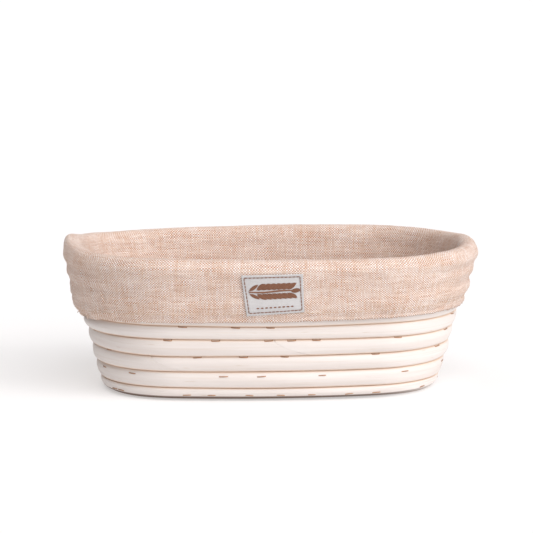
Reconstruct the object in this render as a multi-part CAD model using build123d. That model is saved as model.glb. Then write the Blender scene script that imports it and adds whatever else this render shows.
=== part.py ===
from build123d import *
import math
import os

# Oval proving basket (banneton): stacked hoops of cane on a cane floor, held by wire
# staples, with a lift-out cloth liner whose cuff folds down over the rim.
# Millimetres. Origin at the centre of the underside, +Z up, +X along the length,
# -Y is the front with the label.

# ---- plan: every ring is an oval of four tangent arcs on the same four centres ----
END_CENTRE = 54.0            # centres of the two end arcs, out along X
LENGTH_EXCESS = 50.0         # half length less half width, the same for every ring
_STEP = END_CENTRE - LENGTH_EXCESS
SIDE_CENTRE = (END_CENTRE**2 - _STEP**2) / (2 * _STEP)      # centres of the side arcs, on Y
END_ANGLE = math.degrees(math.atan2(SIDE_CENTRE, END_CENTRE))   # half sweep of an end arc
SIDE_ANGLE = 90.0 - END_ANGLE                                # half sweep of a side arc

# ---- cane wall ----
WALL_HEIGHT = 88.2
BASE_HALF_LENGTH = 103.4     # seam line at the foot of the wall
WALL_FLARE = 22.4            # how much the half length grows from foot to rim
FLARE_POWER = 0.9            # under 1: the wall steepens as it rises
SEAM_HEIGHTS = (0.0, 8.0, 18.8, 29.1, 39.3, 48.2, 58.2, 68.2, 78.2, WALL_HEIGHT)
SEAM_THICKNESS = 6.5         # cane thickness where two hoops meet
CANE_BULGE = 1.3             # how far a cane's face stands out between its seams
FOOT_SET_BACK = 1.9          # the lowest hoop's face curls in to its foot
RIM_ROUNDING = 2.4           # drop of the rim hoop's shoulders below its crown
RIM_BELLY_DROP = 1.0         # the rim hoop is widest this far below its middle

# ---- cane floor ----
FLOOR_THICKNESS = 8.0
FLOOR_CANE_WIDTH = 9.1
FLOOR_RINGS = 4              # rings around the hairpin core
FLOOR_EDGE = 1.3             # taken off a floor cane's edges
CORE_SLIT = 0.3              # gap between the two runs of the hairpin
CORE_SLIT_END = 7.0          # solid bend left at each end of the slit
FLOOR_HALF_LENGTH = LENGTH_EXCESS + FLOOR_CANE_WIDTH * (FLOOR_RINGS + 1)

# ---- scarf joint, where the two ends of one cane meet ----
SCARF_KERF = 0.2
SCARF_RUN = 24.0             # length of the slanted cut along the cane
SCARF_OVERRUN = 6.0          # so that the cut passes clean through a curved cane
FLOOR_SCARF_RUN = 14.0       # shorter on the tighter floor canes
WALL_SCARFS = (-180.0, 215.0, -70.0, 9.0, 150.0, -240.0, 290.0, 120.0, -130.0)
FLOOR_SCARFS = (30.0, -60.0, 110.0, -150.0)

# ---- wire staples ----
WIRE_WIDTH = 0.9
WIRE_THICKNESS = 0.6
CROWN_LENGTH = 5.2
LEG_LENGTH = 7.0
CROWN_PROUD = 0.25           # how far a crown stands out of the cane
LEG_RISE_ANGLE = 32.0        # legs run inwards and up across the seam
STAPLE_PITCH = 36.0          # spacing round the ends and back
FRONT_REACH = 140.0          # the rows below place the staples nearer the front than this
# distances along the front from its middle, for the seam that each row crosses
SEAM_STAPLES = {
    1: (),
    2: (-119, -91, -33, -10, 27, 80, 124),
    3: (-112, -49, -21, 4, 60, 109),
    4: (-130, -67, -38, -6, 8, 23, 74, 118),
    5: (-58, -26, -5, 126),
    6: (-115, -80, -44, -12, 24, 60, 104),
    7: (-128, -92, -53, -17, 14, 52, 97, 131),
    8: (-104, -68, -30, 6, 41, 79, 118),
}
SEAM_STAPLE_DROP = {1: 0.9, 2: 2.6, 3: 0.5, 4: 0.5, 5: 0.6, 6: 0.8, 7: 0.8, 8: 0.8}
FOOT_STAPLES = (-105, -99, -55, -40, -17, 2, 21, 44, 61, 96, 130)
FOOT_STAPLE_HEIGHT = 3.6
FOOT_LEG_LENGTH = 13.0
FLOOR_STAPLES_PER_RING = 6
FLOOR_STAPLE_HEIGHT = 5.7
FLOOR_STAPLE_LEG = 13.0
FLOOR_STAPLE_SINK = 0.35     # below the side of the ring, so that the next ring fits

# ---- cloth liner ----
CLOTH = 1.2                  # liner cloth with its slack
LINER_GAP = 0.4              # clearance between cloth and cane
LINER_FLOOR = FLOOR_THICKNESS + LINER_GAP
INNER_STATIONS = (30.0, 55.0, 80.0)       # heights that fix the run of the inner wall
RIM_REACH = 3.3              # half width of the fold over the rim
RIM_DROP = 1.2               # its shoulders lie this far below its crown
CUFF_TOP = 84.0              # where the cuff starts, outside the rim
CUFF_BOTTOM = 46.4
CUFF_OUTLINE = ((128.9, CUFF_TOP), (127.5, 76.0), (124.7, 66.0), (123.6, 58.0), (121.7, 52.0),
                (119.6, 48.4), (119.4, CUFF_BOTTOM))     # middle of the cloth: half length, height
ELASTIC_THICKNESS = 0.55
ELASTIC_BOTTOM = 46.8
ELASTIC_TOP = 50.0
ELASTIC_GAP = 0.05           # so that the band and the cuff meet without sharing space
UPWARD = (0, 1)
DOWNWARD = (0, -1)
THREAD = 0.3                 # sewing thread radius
THREAD_GAP = 0.1
HEM_THREAD_HEIGHT = 48.0

# ---- woven label sewn to the front of the cuff ----
LABEL_CENTRE_X = -3.8
LABEL_CENTRE_Z = 69.3
LABEL_WIDTH = 35.5
LABEL_HEIGHT = 25.2
LABEL_THICKNESS = 0.6
LABEL_GAP = 0.05             # so that the two cloths meet without sharing space
LABEL_TILT = -4.0            # turn in its own plane, degrees
LABEL_MARGIN = 1.6           # stitching line in from the edge
STITCH_LENGTH = 1.8
STITCH_PITCH = 2.7
STITCH_WIDTH = 0.45
STITCH_HEIGHT = 0.3
BLOCK_DEPTH = 30.0           # deep enough to pass right through the cuff


def seam_half_length(height):
    """Half length of the wall's outer seam line at a height."""
    return BASE_HALF_LENGTH + WALL_FLARE * (height / WALL_HEIGHT) ** FLARE_POWER


def sweep_oval(profile):
    """Carry a closed profile, drawn as (half length, height), round the oval."""
    end_axis = Axis((END_CENTRE, 0, 0), (0, 0, 1))
    side_axis = Axis((0, -SIDE_CENTRE, 0), (0, 0, 1))
    end = revolve(Plane.XZ * profile, axis=end_axis, revolution_arc=2 * END_ANGLE)
    end = end.rotate(end_axis, -END_ANGLE)
    side = revolve(Plane.YZ * Pos(-LENGTH_EXCESS, 0) * profile, axis=side_axis,
                   revolution_arc=2 * SIDE_ANGLE)
    side = side.rotate(side_axis, -SIDE_ANGLE)
    ring = end + side + mirror(end, Plane.YZ) + mirror(side, Plane.XZ)
    return ring


def oval_frame(half_length, distance):
    """Point and outward direction at a distance round the oval from the middle of the
    front, towards +X when positive."""
    side_radius = half_length - LENGTH_EXCESS + SIDE_CENTRE
    end_radius = half_length - END_CENTRE
    side_run = side_radius * math.radians(SIDE_ANGLE)
    end_run = 2 * end_radius * math.radians(END_ANGLE)
    travel = abs(distance)
    if travel < side_run:
        turn = travel / side_radius
        x, y = side_radius * math.sin(turn), SIDE_CENTRE - side_radius * math.cos(turn)
        out_x, out_y = math.sin(turn), -math.cos(turn)
    elif travel < side_run + end_run:
        turn = (travel - side_run) / end_radius - math.radians(END_ANGLE)
        x, y = END_CENTRE + end_radius * math.cos(turn), end_radius * math.sin(turn)
        out_x, out_y = math.cos(turn), math.sin(turn)
    else:
        turn = math.radians(SIDE_ANGLE) - (travel - side_run - end_run) / side_radius
        x, y = side_radius * math.sin(turn), side_radius * math.cos(turn) - SIDE_CENTRE
        out_x, out_y = math.sin(turn), math.cos(turn)
    sign = 1 if distance >= 0 else -1
    return Vector(sign * x, y, 0), Vector(sign * out_x, out_y, 0)


def place_on_oval(solid, half_length, distance, height):
    """Move a solid, drawn with +X pointing outward, onto the oval."""
    point, outward = oval_frame(half_length, distance)
    turn = math.degrees(math.atan2(outward.Y, outward.X))
    return Pos(point.X, point.Y, height) * Rot(0, 0, turn) * solid


def oval_length(half_length):
    side_radius = half_length - LENGTH_EXCESS + SIDE_CENTRE
    end_radius = half_length - END_CENTRE
    return 4 * (side_radius * math.radians(SIDE_ANGLE) + end_radius * math.radians(END_ANGLE))


def scarf_cut(half_length, bottom, top, distance, thickness):
    """Thin slanted slab that parts a hoop where the two ends of its cane meet."""
    height = top - bottom
    slant = math.degrees(math.atan2(height, SCARF_RUN))
    length = math.hypot(SCARF_RUN, height) + SCARF_OVERRUN
    slab = Rot(-slant, 0, 0) * Box(3 * thickness, length, SCARF_KERF)
    return place_on_oval(slab, half_length, distance, (bottom + top) / 2)


def wall_profile(level):
    """Section of one wall hoop; level 1 is the lowest."""
    bottom, top = SEAM_HEIGHTS[level - 1], SEAM_HEIGHTS[level]
    middle = (bottom + top) / 2
    foot, head = seam_half_length(bottom), seam_half_length(top)
    if level == 1:
        foot -= FOOT_SET_BACK
        outline = [ThreePointArc((foot, bottom), ((foot + head) / 2 + CANE_BULGE, middle), (head, top)),
                   Polyline((head, top), (FLOOR_HALF_LENGTH, top), (FLOOR_HALF_LENGTH, bottom),
                            (foot, bottom))]
    elif level == len(SEAM_HEIGHTS) - 1:
        shoulder = top - RIM_ROUNDING
        outer, inner = head, head - SEAM_THICKNESS
        belly = middle - RIM_BELLY_DROP
        face = (foot + outer) / 2 + CANE_BULGE
        back = (foot + inner - SEAM_THICKNESS) / 2 - CANE_BULGE
        outline = [ThreePointArc((foot, bottom), (face, belly), (outer, shoulder)),
                   ThreePointArc((outer, shoulder), ((outer + inner) / 2, top), (inner, shoulder)),
                   ThreePointArc((inner, shoulder), (back, belly), (foot - SEAM_THICKNESS, bottom)),
                   Line((foot - SEAM_THICKNESS, bottom), (foot, bottom))]
    else:
        face = (foot + head) / 2 + CANE_BULGE
        back = (foot + head) / 2 - SEAM_THICKNESS - CANE_BULGE
        outline = [ThreePointArc((foot, bottom), (face, middle), (head, top)),
                   Line((head, top), (head - SEAM_THICKNESS, top)),
                   ThreePointArc((head - SEAM_THICKNESS, top), (back, middle),
                                 (foot - SEAM_THICKNESS, bottom)),
                   Line((foot - SEAM_THICKNESS, bottom), (foot, bottom))]
    return make_face(outline)


def wall_hoop(level, staples):
    """One cane of the wall, with its scarf joint and the holes of its staples."""
    bottom, top = SEAM_HEIGHTS[level - 1], SEAM_HEIGHTS[level]
    hoop = sweep_oval(wall_profile(level))
    half_length = seam_half_length((bottom + top) / 2)
    cut = scarf_cut(half_length, bottom, top, WALL_SCARFS[level - 1], 2 * SEAM_THICKNESS)
    return hoop - cut - staples


def floor_profile(inner, outer):
    """Section of a floor cane: a flat underside with its edges taken off and a crowned top."""
    shoulder = FLOOR_THICKNESS - FLOOR_EDGE
    outline = [Polyline((inner, shoulder), (inner, FLOOR_EDGE), (inner + FLOOR_EDGE, 0),
                        (outer - FLOOR_EDGE, 0), (outer, FLOOR_EDGE), (outer, shoulder)),
               ThreePointArc((outer, shoulder), ((inner + outer) / 2, FLOOR_THICKNESS), (inner, shoulder))]
    return make_face(outline)


def floor_ring(index, staples):
    """One ring of the floor; index 1 lies against the hairpin core."""
    inner = LENGTH_EXCESS + FLOOR_CANE_WIDTH * index
    outer = inner + FLOOR_CANE_WIDTH
    ring = sweep_oval(floor_profile(inner, outer))
    point, outward = oval_frame((inner + outer) / 2, FLOOR_SCARFS[index - 1])
    slant = math.degrees(math.atan2(FLOOR_CANE_WIDTH, FLOOR_SCARF_RUN))
    length = math.hypot(FLOOR_SCARF_RUN, FLOOR_CANE_WIDTH) + SCARF_OVERRUN
    slab = Rot(0, 0, slant) * Box(SCARF_KERF, length, 3 * FLOOR_THICKNESS)
    turn = math.degrees(math.atan2(outward.Y, outward.X))
    cut = Pos(point.X, point.Y, 0) * Rot(0, 0, turn) * slab
    return ring - cut - staples


def floor_core(staples):
    """The hairpin in the middle of the floor: one cane bent back on itself."""
    outer = LENGTH_EXCESS + FLOOR_CANE_WIDTH
    plan = make_face(oval_outline(outer))
    core = extrude(plan, FLOOR_THICKNESS)
    core = fillet(core.edges().group_by(Axis.Z)[-1], FLOOR_EDGE)
    core = chamfer(core.edges().group_by(Axis.Z)[0], FLOOR_EDGE)
    slit = Box(2 * (outer - CORE_SLIT_END), CORE_SLIT, 3 * FLOOR_THICKNESS)
    return core - slit - staples


def oval_outline(half_length):
    """Closed outline of the oval in plan, as four tangent arcs."""
    side_run = math.radians(SIDE_ANGLE) * (half_length - LENGTH_EXCESS + SIDE_CENTRE)
    end_run = 2 * math.radians(END_ANGLE) * (half_length - END_CENTRE)
    marks = [-side_run, 0, side_run, side_run + end_run / 2, side_run + end_run]
    front = [oval_frame(half_length, mark)[0] for mark in marks]
    back = [Vector(-point.X, -point.Y, 0) for point in front]
    return [ThreePointArc(front[0], front[1], front[2]),
            ThreePointArc(front[2], front[3], front[4]),
            ThreePointArc(back[0], back[1], back[2]),
            ThreePointArc(back[2], back[3], back[4])]


def staple(leg_length, rise_angle):
    """One wire staple, drawn with its crown at the origin and its legs pointing to -X."""
    blank = Box(leg_length, CROWN_LENGTH, WIRE_WIDTH)
    gap = Pos(-WIRE_THICKNESS, 0, 0) * Box(leg_length, CROWN_LENGTH - 2 * WIRE_WIDTH, 2 * WIRE_WIDTH)
    wire = Pos(CROWN_PROUD - leg_length / 2, 0, 0) * (blank - gap)
    return Rot(0, rise_angle, 0) * wire


def row_distances(front_distances, half_length):
    """All the places of one row: the given ones, then an even spacing round the back."""
    start = FRONT_REACH + STAPLE_PITCH / 2
    run = oval_length(half_length) - 2 * start
    count = round(run / STAPLE_PITCH)
    return list(front_distances) + [start + run * step / count for step in range(count + 1)]


def wrap(distance, half_length):
    """The same place measured the short way round."""
    length = oval_length(half_length)
    return distance - length if distance > length / 2 else distance


def staple_row(half_length, height, distances, leg_length, rise_angle):
    """Staples set along one line of the wall."""
    wire = staple(leg_length, rise_angle)
    return [place_on_oval(wire, half_length, wrap(distance, half_length), height)
            for distance in row_distances(distances, half_length)]


def seam_staple_row(seam):
    """The row that ties the hoop above a seam to the hoop below it."""
    top, bottom = SEAM_HEIGHTS[seam], SEAM_HEIGHTS[seam - 1]
    height = top - SEAM_STAPLE_DROP[seam]
    part_way = (height - bottom) / (top - bottom)
    face = seam_half_length(height) + 4 * CANE_BULGE * part_way * (1 - part_way)
    return staple_row(face, height, SEAM_STAPLES[seam], LEG_LENGTH, LEG_RISE_ANGLE)


def foot_staple_row():
    """The row that ties the lowest hoop to the floor."""
    part_way = FOOT_STAPLE_HEIGHT / SEAM_HEIGHTS[1]
    foot = BASE_HALF_LENGTH - FOOT_SET_BACK
    head = seam_half_length(SEAM_HEIGHTS[1])
    face = foot + (head - foot) * part_way + 4 * CANE_BULGE * part_way * (1 - part_way)
    return staple_row(face, FOOT_STAPLE_HEIGHT, FOOT_STAPLES, FOOT_LEG_LENGTH, 0)


def floor_staple_groups():
    """Staples that tie each floor ring to the one inside it, hidden between the rings."""
    wire = Pos(-CROWN_PROUD - FLOOR_STAPLE_SINK, 0, 0) * staple(FLOOR_STAPLE_LEG, 0)
    groups = []
    for index in range(1, FLOOR_RINGS + 1):
        face = LENGTH_EXCESS + FLOOR_CANE_WIDTH * (index + 1)
        spacing = oval_length(face) / FLOOR_STAPLES_PER_RING
        places = [wrap(spacing * (step + 0.4 * index), face) for step in range(FLOOR_STAPLES_PER_RING)]
        groups.append([place_on_oval(wire, face, place, FLOOR_STAPLE_HEIGHT) for place in places])
    return groups


def cloth_band(points, thickness, start, end):
    """Section of a cloth: a smooth line through the points, leaving and arriving in the
    given directions, with a thickness."""
    return trace(Spline(*points, tangents=[start, end]), line_width=thickness)


def inner_wall(height):
    """Middle of the liner cloth where it stands inside the cane wall."""
    return seam_half_length(height) - SEAM_THICKNESS - CANE_BULGE - LINER_GAP - CLOTH / 2


def liner_side_panel():
    """The cloth wall of the liner, up the inside and over the rim to the cuff."""
    bottom = LINER_FLOOR + CLOTH
    crown = WALL_HEIGHT + LINER_GAP + CLOTH / 2
    middle = seam_half_length(WALL_HEIGHT) - SEAM_THICKNESS / 2
    wall = [(inner_wall(height), height) for height in (bottom, *INNER_STATIONS)]
    rim = [(middle - RIM_REACH, crown - RIM_DROP), (middle, crown),
           (middle + RIM_REACH, crown - RIM_DROP), CUFF_OUTLINE[0]]
    return sweep_oval(cloth_band(wall + rim, CLOTH, UPWARD, DOWNWARD))


def liner_floor_panel():
    """The oval cloth at the bottom of the liner."""
    edge = inner_wall(LINER_FLOOR + CLOTH) + CLOTH / 2
    plan = make_face(oval_outline(edge))
    return Pos(0, 0, LINER_FLOOR) * extrude(plan, CLOTH)


def liner_cuff():
    """The part of the liner folded down outside the rim."""
    return sweep_oval(cloth_band(CUFF_OUTLINE, CLOTH, DOWNWARD, DOWNWARD))


def hem_elastic():
    """Flat elastic sewn inside the hem, which draws the cuff in under the rim."""
    face = CUFF_OUTLINE[-1][0] - CLOTH / 2 - ELASTIC_GAP
    height = ELASTIC_TOP - ELASTIC_BOTTOM
    middle = (ELASTIC_BOTTOM + ELASTIC_TOP) / 2
    return sweep_oval(Pos(face - ELASTIC_THICKNESS / 2, middle) * Rectangle(ELASTIC_THICKNESS, height))


def thread_ring(half_length, height):
    """One line of stitching, as its closed thread."""
    return sweep_oval(Pos(half_length, height) * Circle(THREAD))


def cuff_layer(gap, thickness):
    """A layer that lies on the cuff's outside, a gap away from it."""
    shift = CLOTH / 2 + gap + thickness / 2
    outline = [(half_length + shift, height) for half_length, height in CUFF_OUTLINE]
    return sweep_oval(cloth_band(outline, thickness, DOWNWARD, DOWNWARD))


def on_label(blocks):
    """Turn blocks, drawn about the label's middle, to where the label is sewn."""
    front = -oval_frame(CUFF_OUTLINE[2][0], 0)[0].Y
    place = Pos(LABEL_CENTRE_X, -front, LABEL_CENTRE_Z) * Rot(0, LABEL_TILT, 0)
    return [place * block for block in blocks]


def label():
    """Woven label that follows the cuff."""
    [block] = on_label([Box(LABEL_WIDTH, BLOCK_DEPTH, LABEL_HEIGHT)])
    return cuff_layer(LABEL_GAP, LABEL_THICKNESS) & block


def stitch_line(length):
    """Centres of the stitches along one side of the label."""
    count = int((length - STITCH_LENGTH) / STITCH_PITCH)
    return [(step - count / 2) * STITCH_PITCH for step in range(count + 1)]


def label_thread():
    """Running stitches round the edge of the label."""
    width, height = LABEL_WIDTH - 2 * LABEL_MARGIN, LABEL_HEIGHT - 2 * LABEL_MARGIN
    across = Box(STITCH_LENGTH, BLOCK_DEPTH, STITCH_WIDTH)
    upright = Box(STITCH_WIDTH, BLOCK_DEPTH, STITCH_LENGTH)
    blocks = [Pos(x, 0, side * height / 2) * across
              for side in (-1, 1) for x in stitch_line(width)]
    blocks += [Pos(side * width / 2, 0, z) * upright
               for side in (-1, 1) for z in stitch_line(height - 2 * STITCH_PITCH)]
    layer = cuff_layer(LABEL_GAP + LABEL_THICKNESS + LABEL_GAP, STITCH_HEIGHT)
    return [layer & block for block in on_label(blocks)]


def build():
    """Every node by name."""
    levels = len(SEAM_HEIGHTS) - 1
    rows = {seam: seam_staple_row(seam) for seam in range(1, levels)}
    foot_row = foot_staple_row()
    floor_groups = floor_staple_groups()
    nodes = {"floor_core_cane": floor_core(floor_groups[0])}
    for index in range(1, FLOOR_RINGS + 1):
        crossing = list(floor_groups[index - 1])
        crossing += floor_groups[index] if index < FLOOR_RINGS else foot_row
        nodes[f"floor_cane_{index}"] = floor_ring(index, crossing)
    for level in range(1, levels + 1):
        crossing = rows.get(level, []) + rows.get(level - 1, [])
        crossing += foot_row if level == 1 else []
        nodes[f"wall_cane_{level}"] = wall_hoop(level, crossing)
    nodes["floor_staples"] = Compound([wire for group in floor_groups for wire in group])
    nodes["foot_staples"] = Compound(foot_row)
    for seam, wires in rows.items():
        nodes[f"seam_staples_{seam}"] = Compound(wires)
    nodes["liner_floor_panel"] = liner_floor_panel()
    nodes["liner_side_panel"] = liner_side_panel()
    nodes["liner_cuff"] = liner_cuff()
    nodes["hem_elastic"] = hem_elastic()
    hem_face = CUFF_OUTLINE[-2][0] + CLOTH / 2
    nodes["hem_thread"] = thread_ring(hem_face + THREAD + THREAD_GAP, HEM_THREAD_HEIGHT)
    floor_corner = inner_wall(LINER_FLOOR) - CLOTH / 2
    nodes["floor_seam_thread"] = thread_ring(floor_corner - 2 * THREAD,
                                             LINER_FLOOR + CLOTH + THREAD + THREAD_GAP)
    nodes["label"] = label()
    nodes["label_thread"] = Compound(label_thread())
    return nodes


os.makedirs("parts", exist_ok=True)
for name, shape in build().items():
    export_step(shape, f"parts/{name}.step")
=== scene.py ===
import math
from types import SimpleNamespace

import bpy
import numpy as np
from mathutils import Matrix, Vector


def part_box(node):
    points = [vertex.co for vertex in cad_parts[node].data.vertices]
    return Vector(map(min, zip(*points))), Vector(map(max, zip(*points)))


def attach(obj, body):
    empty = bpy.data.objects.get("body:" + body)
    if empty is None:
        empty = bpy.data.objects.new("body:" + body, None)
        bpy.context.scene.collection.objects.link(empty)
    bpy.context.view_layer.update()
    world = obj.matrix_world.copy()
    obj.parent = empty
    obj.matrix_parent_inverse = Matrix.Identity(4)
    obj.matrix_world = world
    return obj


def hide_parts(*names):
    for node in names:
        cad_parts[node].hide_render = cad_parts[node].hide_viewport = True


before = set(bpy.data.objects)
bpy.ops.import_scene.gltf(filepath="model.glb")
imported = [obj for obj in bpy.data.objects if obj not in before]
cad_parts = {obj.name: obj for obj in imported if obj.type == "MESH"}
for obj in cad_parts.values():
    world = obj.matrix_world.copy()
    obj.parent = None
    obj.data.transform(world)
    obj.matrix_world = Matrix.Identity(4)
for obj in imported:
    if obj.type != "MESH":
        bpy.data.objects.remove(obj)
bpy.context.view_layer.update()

# Looks for the oval proving basket. Everything is in metres, in the CAD frame: origin at the
# centre of the underside, +Z up, +X along the length, -Y the front with the label.
MM = 0.001

# ---- plan: every ring is an oval of four tangent arcs on the same four centres ----
END_CENTRE = 54 * MM
LENGTH_EXCESS = 50 * MM
STEP = END_CENTRE - LENGTH_EXCESS
SIDE_CENTRE = (END_CENTRE**2 - STEP**2) / (2 * STEP)
END_ANGLE = math.atan2(SIDE_CENTRE, END_CENTRE)
SIDE_ANGLE = math.pi / 2 - END_ANGLE
REFERENCE_HALF = 122.5 * MM      # distances are measured on this oval, under the rim
SIDE_RADIUS = REFERENCE_HALF - LENGTH_EXCESS + SIDE_CENTRE
END_RADIUS = REFERENCE_HALF - END_CENTRE
SIDE_RUN = SIDE_RADIUS * SIDE_ANGLE
END_RUN = 2 * END_RADIUS * END_ANGLE
PERIMETER = 4 * SIDE_RUN + 2 * END_RUN

# ---- cane wall ----
LEVELS = 9
SEAMS = [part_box(f"wall_cane_{level}")[0].z for level in range(1, LEVELS + 1)]
SEAMS.append(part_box(f"wall_cane_{LEVELS}")[1].z)
WALL_HEIGHT = SEAMS[-1]
BASE_HALF = 103.4 * MM
WALL_FLARE = 22.4 * MM
FLARE_POWER = 0.9
SEAM_THICKNESS = 6.5 * MM
CANE_BULGE = 1.3 * MM
BARE_BULGE = 0.8 * MM            # the hoops below the cuff stand out this much more
FOOT_SET_BACK = 1.9 * MM
FOOT_UNDERCUT = 3.4 * MM         # the lowest hoop's edge is rounded off under its foot
UNDERCUT_SHARE = 0.34            # of the lowest hoop's height
FOOT_SHADOW_HEIGHT = 3.1 * MM             # painted shadow on the lowest hoop's underside reaches up to this height
SEAM_GAP = 0.06 * MM
SHINGLE = 0.38 * MM              # a hoop's foot stands out, and its head in, by this much
SCARF_RUN = 24 * MM
SCARF_GAP = 0.25 * MM
WALL_SCARFS = (-180, 215, -70, 9, 150, -240, 290, 120, -130)      # mm from the front's middle

# ---- cane floor ----
FLOOR_RINGS = 4
FLOOR_CANE_WIDTH = 9.1 * MM
FLOOR_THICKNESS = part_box("floor_cane_2")[1].z
FLOOR_HALF = LENGTH_EXCESS + FLOOR_CANE_WIDTH * (FLOOR_RINGS + 1)
FLOOR_SCARFS = (30, -60, 110, -150)
FLOOR_SCARF_RUN = 14 * MM

# ---- liner ----
CLOTH = 0.9 * MM
LINER_GAP = 0.4 * MM
RIM_LOW = 86 * MM                # below this the cuff keeps clear of the canes
RIM_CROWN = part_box("liner_side_panel")[1].z - CLOTH / 2
HEM_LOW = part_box("liner_cuff")[0].z + CLOTH / 2
CUFF_TOP = 84 * MM
CUFF_OUTLINE = ((128.9, 84), (127.5, 76), (125.0, 66), (124.0, 58), (122.2, 52), (120.0, 48.2))
HEM_HEIGHTS = {-170: 46.9, -138: 46.9, -107: 49.9, -78: 51.2, -22: 51.8, 12: 52.0, 57: 52.8,
               95: 53.2, 140: 53.6, 200: 52.0, 260: 51.0, 310: 51.5, -240: 50.0}
RIM_SWAY = {-120: 0.2, -70: 0.4, 45: -0.3, 130: 0.2, 168: 1.6, 200: 0.5, 240: 0.5, -292: -0.2,
            -230: -0.7, -196: 1.2, -170: 3.4, -148: 1.8}
STATION_COUNT = 760


# ======== plan ========

def from_front(distance):
    """The same place as a distance from the middle of the front, up to half a turn either way."""
    return np.mod(np.asarray(distance, float) + PERIMETER / 2, PERIMETER) - PERIMETER / 2


def all_round(count):
    """Distances once round the oval in even steps, from the middle of the back."""
    return np.linspace(-PERIMETER / 2, PERIMETER / 2, count, endpoint=False)


def station(distance):
    """Foot and outward direction of the plan's normals, at distances round the reference oval
    from the middle of the front. An oval of half length h passes through foot + h * outward."""
    turned = from_front(distance)
    travel = np.abs(turned)
    side = np.where(turned >= 0, 1.0, -1.0)
    front = travel < SIDE_RUN
    back = travel >= SIDE_RUN + END_RUN
    front_turn = travel / SIDE_RADIUS
    end_turn = (travel - SIDE_RUN) / END_RADIUS - END_ANGLE
    back_turn = SIDE_ANGLE - (travel - SIDE_RUN - END_RUN) / SIDE_RADIUS
    turn = np.where(front, front_turn, np.where(back, back_turn, end_turn))
    out_x = np.where(front | back, np.sin(turn), np.cos(turn))
    out_y = np.where(front, -np.cos(turn), np.where(back, np.cos(turn), np.sin(turn)))
    shift = np.where(front | back, SIDE_CENTRE - LENGTH_EXCESS, -END_CENTRE)
    centre_x = np.where(front | back, 0.0, END_CENTRE)
    centre_y = np.where(front, SIDE_CENTRE, np.where(back, -SIDE_CENTRE, 0.0))
    foot = np.stack([side * (centre_x + shift * out_x), centre_y + shift * out_y], -1)
    return foot, np.stack([side * out_x, out_y], -1)


def on_oval(distance, half, height):
    """Points in space from distance round the oval, half length and height."""
    distance, half, height = np.broadcast_arrays(distance, half, height)
    foot, outward = station(distance)
    plan = foot + half[..., None] * outward
    return np.concatenate([plan, height[..., None]], -1)


def outward_at(distance):
    """Outward direction in space at one place round the oval."""
    return np.array([*station(np.array(distance))[1], 0.0])


def endness(distance):
    """0 along the long sides, 1 round the ends."""
    outward = station(distance)[1]
    return smooth_step((np.abs(outward[..., 0]) - 0.25) / 0.6)


def end_shares(distance):
    """How far a place is round the left end and round the right end, each from 0 to 1."""
    along = station(distance)[1][..., 0]
    return smooth_step((-along - 0.25) / 0.6), smooth_step((along - 0.25) / 0.6)


# ======== smooth variation ========

def smooth_step(value):
    value = np.clip(value, 0, 1)
    return value * value * (3 - 2 * value)


def bump(value, centre, width):
    return np.exp(-((value - centre) / width) ** 2)


def round_oval(distance, marks):
    """A smooth periodic line through marks, {distance in mm: value}."""
    places = np.array(sorted(marks)) * MM
    values = np.array([marks[key] for key in sorted(marks)], float)
    places = np.concatenate([places - PERIMETER, places, places + PERIMETER])
    values = np.tile(values, 3)
    turned = from_front(distance)
    index = np.clip(np.searchsorted(places, turned) - 1, 0, len(places) - 2)
    part = (turned - places[index]) / (places[index + 1] - places[index])
    return values[index] + (values[index + 1] - values[index]) * smooth_step(part)


def soft_noise(distance, across, size, size_across, seed):
    """Smooth noise of unit strength, periodic round the oval."""
    columns = max(3, round(PERIMETER / size))
    rows = 96
    table = np.random.default_rng(seed).normal(size=(columns, rows))
    u = np.mod(np.asarray(distance, float) / PERIMETER, 1.0) * columns
    v = np.mod(np.asarray(across, float) / size_across + 1000.0, rows)
    u, v = np.broadcast_arrays(u, v)
    i, j = np.floor(u).astype(int), np.floor(v).astype(int)
    fu, fv = smooth_step(u - i), smooth_step(v - j)
    i, j = i % columns, j % rows
    i2, j2 = (i + 1) % columns, (j + 1) % rows
    low = table[i, j] * (1 - fu) + table[i2, j] * fu
    high = table[i, j2] * (1 - fu) + table[i2, j2] * fu
    return low * (1 - fv) + high * fv


def crease(distance, height, start, end, width):
    """1 along a line on the cloth, from start to end as (distance, height) in mm, fading out
    at its ends and over its width."""
    a, b = np.array(start) * MM, np.array(end) * MM
    run = b - a
    part = ((distance - a[0]) * run[0] + (height - a[1]) * run[1]) / (run @ run)
    off = np.hypot(distance - a[0] - part * run[0], height - a[1] - part * run[1])
    fade = smooth_step(part / 0.3 + 0.5) * smooth_step((1 - part) / 0.3 + 0.5)
    return np.exp(-(off / (width * MM)) ** 2) * fade


# ======== meshes ========

def unit(vectors):
    return vectors / np.linalg.norm(vectors, axis=1)[:, None]


def run_along(path):
    """Distance from the start of a path at each of its points."""
    return np.concatenate([[0], np.cumsum(np.linalg.norm(np.diff(path, axis=0), axis=1))])


def new_object(name, vertices, faces, uvs=None, attributes=None):
    mesh = bpy.data.meshes.new(name)
    mesh.from_pydata(vertices.tolist(), [], faces)
    if uvs is not None:
        layer = mesh.uv_layers.new(name="thread")
        layer.data.foreach_set("uv", np.asarray(uvs, np.float32).ravel())
    for key, values in (attributes or {}).items():
        attribute = mesh.attributes.new(key, "FLOAT", "POINT")
        attribute.data.foreach_set("value", np.asarray(values, np.float32).ravel())
    mesh.polygons.foreach_set("use_smooth", [True] * len(mesh.polygons))
    mesh.update()
    made = bpy.data.objects.new(name, mesh)
    bpy.context.scene.collection.objects.link(made)
    return made


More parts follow.
